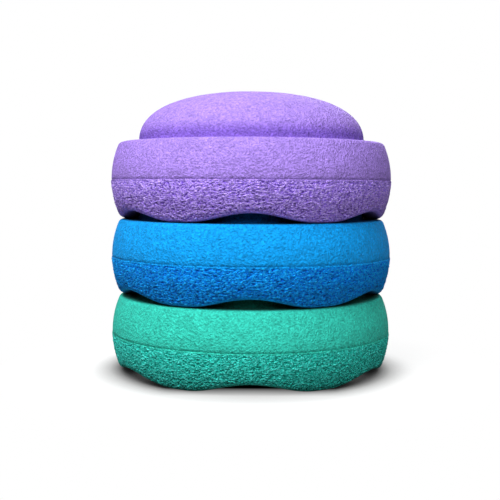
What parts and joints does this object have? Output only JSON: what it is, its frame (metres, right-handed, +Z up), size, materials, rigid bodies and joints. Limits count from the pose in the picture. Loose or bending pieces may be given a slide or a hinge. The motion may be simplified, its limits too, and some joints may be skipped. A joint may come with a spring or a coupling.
{
  "type": "balance stepping stone stack",
  "caption": "Stack of nesting balance stepping stones for children. Each is a firm foam dome on a bulging ring with a wavy rim, hollow underneath, and lifts off the next.",
  "frame": {"origin": "on the floor, on the axis of the stack, at the height of the bottom stone's feet", "axes": "+Z up along the axis of the stack; -Y is the front, through the middle of an arch in each stone's wavy rim; +X to the right seen from the front"},
  "size_m": [0.275, 0.275, 0.2721],
  "materials": {
    "green_foam": "matte",
    "blue_foam": "matte",
    "purple_foam": "matte"
  },
  "bodies": {
    "bottom": {"green_stone": "green_foam"},
    "middle": {"blue_stone": "blue_foam"},
    "top": {"purple_stone": "purple_foam"}
  },
  "joints": [
    {"name": "middle_lift", "type": "slide", "parent": "bottom", "child": "middle", "axis": [0, 0, 1], "range_m": [0, 0.06]},
    {"name": "top_lift", "type": "slide", "parent": "middle", "child": "top", "axis": [0, 0, 1], "range_m": [0, 0.06]}
  ]
}
